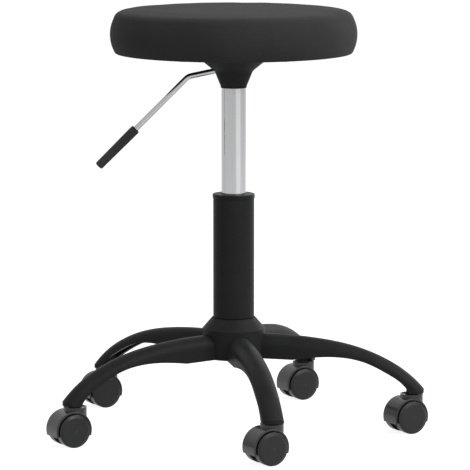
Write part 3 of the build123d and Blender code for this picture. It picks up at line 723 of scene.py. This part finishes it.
def pleat_tree():
    """Geometry nodes: tapered folds set round a ring, each a little longer or shorter than the next."""
    fold_points, fold_sides, fold_tip = 9, 8, 0.02
    smallest, largest = 0.7, 1.1
    tree = bpy.data.node_groups.new("hem pleats", "GeometryNodeTree")
    tree.interface.new_socket("Geometry", in_out="OUTPUT", socket_type="NodeSocketGeometry")
    wanted = (
        ("Ring Radius", "NodeSocketFloat"),
        ("Height", "NodeSocketFloat"),
        ("Count", "NodeSocketInt"),
        ("Pleat Length", "NodeSocketFloat"),
        ("Pleat Radius", "NodeSocketFloat"),
        ("Seed", "NodeSocketInt"),
        ("Finish", "NodeSocketMaterial"),
    )
    for name, kind in wanted:
        tree.interface.new_socket(name, in_out="INPUT", socket_type=kind)
    given = tree.nodes.new("NodeGroupInput")
    result = tree.nodes.new("NodeGroupOutput")

    # One fold: a short line, thick in its middle and fine at its ends
    ends = add_node(tree, "ShaderNodeCombineXYZ")
    link(tree, given, "Pleat Length", ends, "X")
    line = add_node(tree, "GeometryNodeCurvePrimitiveLine")
    link(tree, ends, "Vector", line, "End")
    even = add_node(tree, "GeometryNodeResampleCurve", Count=fold_points)
    link(tree, line, "Curve", even, "Curve")
    along = add_node(tree, "GeometryNodeSplineParameter")
    belly = maths(tree, "SINE", maths(tree, "MULTIPLY", along.outputs["Factor"], pi))
    tapered = add_node(tree, "GeometryNodeSetCurveRadius")
    link(tree, even, "Curve", tapered, "Curve")
    tree.links.new(maths(tree, "ADD", belly, fold_tip), tapered.inputs["Radius"])
    section = add_node(tree, "GeometryNodeCurvePrimitiveCircle", Resolution=fold_sides)
    link(tree, given, "Pleat Radius", section, "Radius")
    fold = add_node(tree, "GeometryNodeCurveToMesh")
    fold.inputs["Fill Caps"].default_value = True
    link(tree, tapered, "Curve", fold, "Curve")
    link(tree, section, "Curve", fold, "Profile Curve")
    spread = add_node(tree, "GeometryNodeInputRadius")
    link(tree, spread, "Radius", fold, "Scale")

    # The ring of folds, pointing inwards
    ring = add_node(tree, "GeometryNodeMeshCircle")
    link(tree, given, "Count", ring, "Vertices")
    link(tree, given, "Ring Radius", ring, "Radius")
    lift = add_node(tree, "ShaderNodeCombineXYZ")
    link(tree, given, "Height", lift, "Z")
    placed = add_node(tree, "GeometryNodeTransform")
    link(tree, ring, "Mesh", placed, "Geometry")
    link(tree, lift, "Vector", placed, "Translation")
    spot = add_node(tree, "GeometryNodeInputPosition")
    inward = add_node(tree, "ShaderNodeVectorMath", operation="MULTIPLY")
    inward.inputs[1].default_value = (-1, -1, 0)
    tree.links.new(spot.outputs[0], inward.inputs[0])
    aim = add_node(tree, "FunctionNodeAlignRotationToVector", axis="X", pivot_axis="Z")
    tree.links.new(inward.outputs[0], aim.inputs["Vector"])
    size = add_node(tree, "FunctionNodeRandomValue", data_type="FLOAT")
    size.inputs[2].default_value = smallest
    size.inputs[3].default_value = largest
    link(tree, given, "Seed", size, "Seed")
    copies = add_node(tree, "GeometryNodeInstanceOnPoints")
    link(tree, placed, "Geometry", copies, "Points")
    link(tree, fold, "Mesh", copies, "Instance")
    link(tree, aim, "Rotation", copies, "Rotation")
    tree.links.new(size.outputs[1], copies.inputs["Scale"])
    real = add_node(tree, "GeometryNodeRealizeInstances")
    link(tree, copies, "Instances", real, "Geometry")
    smooth = add_node(tree, "GeometryNodeSetShadeSmooth")
    link(tree, real, "Geometry", smooth, "Geometry")
    finished = add_node(tree, "GeometryNodeSetMaterial")
    link(tree, smooth, "Geometry", finished, "Geometry")
    link(tree, given, "Finish", finished, "Material")
    link(tree, finished, "Geometry", result, "Geometry")
    return tree


def grown(name, tree, values):
    """A plain mesh piece from a geometry node tree and its named input values."""
    holder = bpy.data.objects.new(name, bpy.data.meshes.new(name))
    bpy.context.scene.collection.objects.link(holder)
    modifier = holder.modifiers.new(tree.name, "NODES")
    modifier.node_group = tree
    for socket in tree.interface.items_tree:
        if socket.in_out == "INPUT" and socket.name in values:
            modifier[socket.identifier] = values[socket.name]
    depsgraph = bpy.context.evaluated_depsgraph_get()
    mesh = bpy.data.meshes.new_from_object(holder.evaluated_get(depsgraph))
    holder.modifiers.remove(modifier)
    holder.data = mesh
    mesh.name = name
    return holder


# Operators

CUSHION_SEGMENTS = 128
PLEAT_INSET = 9 * MILLIMETRE     # outer end of a fold, in from the cushion's foot
PLEAT_SEED = 7


class STOOL_OT_seat_cushion(bpy.types.Operator):
    """Makes the padded seat: crowned cover over foam, turned under the board"""

    bl_idname = "stool.seat_cushion"
    bl_label = "Seat Cushion"

    def execute(self, context):
        seat = context.scene.stool.seat
        outline, flat_cut, free = cushion_outline(seat)
        cushion = lathe("seat_cushion", outline, CUSHION_SEGMENTS, flat_cut)
        swell(cushion, CUSHION_SEGMENTS, free, seat.give)
        cushion.data.materials.append(upholstery())
        rounder = cushion.modifiers.new("soft rounding", "SUBSURF")
        rounder.levels = rounder.render_levels = 1
        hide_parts("seat_cover", "seat_foam")
        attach(cushion, "seat")
        return {"FINISHED"}


class STOOL_OT_hem_pleats(bpy.types.Operator):
    """Makes the small folds where the cover is turned under the seat"""

    bl_idname = "stool.hem_pleats"
    bl_label = "Hem Pleats"

    def execute(self, context):
        seat = context.scene.stool.seat
        pleats = grown(
            "hem_pleats",
            pleat_tree(),
            {
                "Ring Radius": seat.foot_radius - PLEAT_INSET,
                "Height": COVER_LOW.z,
                "Count": seat.pleat_count,
                "Pleat Length": seat.pleat_length,
                "Pleat Radius": seat.pleat_radius,
                "Seed": PLEAT_SEED,
                "Finish": bpy.data.materials["woven upholstery"],
            },
        )
        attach(pleats, "seat")
        return {"FINISHED"}


class STOOL_OT_seat_fittings(bpy.types.Operator):
    """Finishes the board, plate and fasteners under the seat"""

    bl_idname = "stool.seat_fittings"
    bl_label = "Seat Fittings"

    def execute(self, context):
        zinc = plated_steel()
        dress(plywood(), "seat_board")
        dress(zinc, "tee_nuts", "cover_staples", "plate_bolts", "plate_washers")
        dress(zinc, "lever_pivot_pin", "release_pin")
        dress(powder_coat(), "seat_plate")
        dress(bell_paint(), "bell_housing")
        return {"FINISHED"}


class STOOL_OT_lever(bpy.types.Operator):
    """Finishes the release lever's bright rod and its grip"""

    bl_idname = "stool.lever"
    bl_label = "Release Lever"

    def execute(self, context):
        dress(bright_chrome(), "lever_rod")
        dress(grip_plastic(), "lever_grip")
        return {"FINISHED"}


class STOOL_OT_gas_lift(bpy.types.Operator):
    """Finishes the gas lift, from its bright tube to the bearing inside its column"""

    bl_idname = "stool.gas_lift"
    bl_label = "Gas Lift"

    def execute(self, context):
        dress(bpy.data.materials["bright chrome"], "pressure_tube", "piston_rod")
        dress(turned_brass(), "valve_body", "rod_gland", "piston")
        dress(bumper_rubber(), "rod_bumper")
        dress(bush_plastic(), "guide_bush")
        dress(bpy.data.materials["satin powder coat"], "column_tube")
        zinc = bpy.data.materials["zinc plate"]
        dress(zinc, "upper_race", "lower_race", "bearing_balls", "rod_washer", "rod_clip")
        return {"FINISHED"}


class STOOL_OT_base(bpy.types.Operator):
    """Finishes the hub, the arched arms and the caster stems"""

    bl_idname = "stool.base"
    bl_label = "Star Base"

    def execute(self, context):
        coat = bpy.data.materials["satin powder coat"]
        dress(coat, "base_hub", "stem_sockets", "caster_stems")
        dress(coat, *[f"base_arm_{number}" for number in ARM_NUMBERS])
        dress(bpy.data.materials["zinc plate"], "stem_grip_rings")
        return {"FINISHED"}


class STOOL_OT_casters(bpy.types.Operator):
    """Finishes the hoods, axles and wheels of the casters"""

    bl_idname = "stool.casters"
    bl_label = "Casters"

    def execute(self, context):
        hood, wheel = hood_plastic(), wheel_plastic()
        for number in ARM_NUMBERS:
            dress(hood, f"caster_{number}_hood")
            dress(wheel, f"caster_{number}_wheel_left", f"caster_{number}_wheel_right")
            dress(bpy.data.materials["zinc plate"], f"caster_{number}_axle")
        return {"FINISHED"}


# Studio: for each lamp its place, the point that it faces and its width, in metres

SEAT_MIDDLE, STOOL_MIDDLE, BASE_MIDDLE = (0, 0, 0.45), (0, 0, 0.3), (0, 0, 0.2)
KEY_LAMP = ((2.0, -2.4, 2.5), STOOL_MIDDLE, 1.2)
FILL_LAMP = ((-2.6, -1.5, 1.5), STOOL_MIDDLE, 1.2)
TOP_LAMP = ((2.2, -0.5, 2.3), STOOL_MIDDLE, 1.6)
BACK_LAMP = ((1.0, 2.7, 2.4), STOOL_MIDDLE, 1.8)
PANEL_LAMP = ((1.45, -1.55, 0.65), SEAT_MIDDLE, 1.9)
RIM_LAMP = ((1.9, 2.2, 1.35), BASE_MIDDLE, 1.3)
SENSOR_WIDTH = 36        # millimetres
VIEW_LIMIT = 200
WHITE = (1, 1, 1, 1)


def seen_white(tree):
    """1 for camera, mirror and see-through rays, 0 for the light that falls on things. Gives the socket."""
    path = add_node(tree, "ShaderNodeLightPath")
    seen = maths(tree, "MAXIMUM", path.outputs["Is Camera Ray"], path.outputs["Is Glossy Ray"])
    return maths(tree, "MAXIMUM", seen, path.outputs["Is Transmission Ray"])


def pale_floor(stage):
    """Floor that looks white where it is lit and keeps soft shadows."""
    material, tree, shader = new_material("pale floor", Roughness=1.0, Specular_IOR_Level=0.0)
    mottle = ramp(tree, noise(tree, scale=3.0, detail=2.0), NOISE_LOW, NOISE_HIGH)
    paint(tree, shader, mottle, stage.floor_colour, shaded(stage.floor_colour, 0.995))
    glow = add_node(tree, "ShaderNodeEmission", Color=WHITE)
    tree.links.new(maths(tree, "MULTIPLY", seen_white(tree), stage.floor_glow), glow.inputs["Strength"])
    both = add_node(tree, "ShaderNodeAddShader")
    tree.links.new(shader.outputs[0], both.inputs[0])
    tree.links.new(glow.outputs[0], both.inputs[1])
    tree.links.new(both.outputs[0], tree.nodes["Material Output"].inputs["Surface"])
    return material


def lay_floor(stage):
    """A square floor under the stool."""
    half = stage.floor_size / 2
    corners = [(-half, -half, 0), (half, -half, 0), (half, half, 0), (-half, half, 0)]
    mesh = bpy.data.meshes.new("floor")
    mesh.from_pydata(corners, [], [(0, 1, 2, 3)])
    mesh.materials.append(pale_floor(stage))
    floor = bpy.data.objects.new("floor", mesh)
    bpy.context.scene.collection.objects.link(floor)


def white_surround(stage):
    """A world that looks white and gives a softer light from all round."""
    world = bpy.data.worlds.new("white surround")
    world.use_nodes = True
    bpy.context.scene.world = world
    tree = world.node_tree
    surround = tree.nodes["Background"]
    surround.inputs["Color"].default_value = WHITE
    extra = maths(tree, "MULTIPLY", seen_white(tree), 1 - stage.room_light)
    tree.links.new(maths(tree, "ADD", extra, stage.room_light), surround.inputs["Strength"])


def add_lamp(name, watts, place, target, width):
    """A square soft lamp that faces a point."""
    lamp = bpy.data.lights.new(name, "AREA")
    lamp.energy = watts
    lamp.size = width
    holder = bpy.data.objects.new(name, lamp)
    holder.location = place
    holder.rotation_euler = (Vector(target) - Vector(place)).to_track_quat("-Z", "Y").to_euler()
    holder.visible_camera = False
    bpy.context.scene.collection.objects.link(holder)
    return holder


def set_lamps(stage):
    """Soft lamps all round. The fill and the back lamp don't show in glossy surfaces."""
    add_lamp("key_lamp", stage.key_light, *KEY_LAMP)
    fill = add_lamp("fill_lamp", stage.fill_light, *FILL_LAMP)
    fill.visible_glossy = False
    add_lamp("top_lamp", stage.top_light, *TOP_LAMP)
    back = add_lamp("back_lamp", stage.back_light, *BACK_LAMP)
    back.visible_glossy = False
    add_lamp("panel_lamp", stage.panel_light, *PANEL_LAMP)
    add_lamp("rim_lamp", stage.rim_light, *RIM_LAMP)


def set_camera(stage):
    """The camera that took the photograph."""
    camera = bpy.data.cameras.new("photo camera")
    camera.lens = stage.camera_lens
    camera.sensor_width = SENSOR_WIDTH
    camera.clip_end = VIEW_LIMIT
    holder = bpy.data.objects.new("photo_camera", camera)
    holder.location = stage.camera_place
    holder.rotation_euler = (stage.camera_tilt, 0, stage.camera_turn)
    bpy.context.scene.collection.objects.link(holder)
    bpy.context.scene.camera = holder


class STOOL_OT_stage(bpy.types.Operator):
    """Sets the floor, the soft lamps, the white surround and the camera"""

    bl_idname = "stool.stage"
    bl_label = "Studio"

    def execute(self, context):
        stage = context.scene.stool.stage
        context.scene.view_settings.view_transform = "Standard"
        lay_floor(stage)
        white_surround(stage)
        set_lamps(stage)
        set_camera(stage)
        return {"FINISHED"}


STEPS = (
    STOOL_OT_seat_cushion,
    STOOL_OT_hem_pleats,
    STOOL_OT_seat_fittings,
    STOOL_OT_lever,
    STOOL_OT_gas_lift,
    STOOL_OT_base,
    STOOL_OT_casters,
    STOOL_OT_stage,
)


class STOOL_PT_dressing(bpy.types.Panel):
    """Steps of the dressing, in order, and their settings"""

    bl_idname = "STOOL_PT_dressing"
    bl_label = "Swivel Stool"
    bl_space_type = "VIEW_3D"
    bl_region_type = "UI"
    bl_category = "Stool"

    def draw(self, context):
        for step in STEPS:
            self.layout.operator(step.bl_idname)
        for group in (context.scene.stool.seat, context.scene.stool.finish, context.scene.stool.stage):
            box = self.layout.box()
            for name in group.__annotations__:
                box.prop(group, name)


CLASSES = (SeatSettings, FinishSettings, StageSettings, StoolSettings, *STEPS, STOOL_PT_dressing)


def register():
    """Adds the settings, the steps and the panel to Blender."""
    for each in CLASSES:
        bpy.utils.register_class(each)
    bpy.types.Scene.stool = PointerProperty(type=StoolSettings)


def unregister():
    """Takes them away again."""
    del bpy.types.Scene.stool
    for each in reversed(CLASSES):
        bpy.utils.unregister_class(each)


def main():
    """Dresses the stool step by step."""
    register()
    for step in STEPS:
        group, name = step.bl_idname.split(".")
        getattr(getattr(bpy.ops, group), name)()


if __name__ == "__main__":
    main()
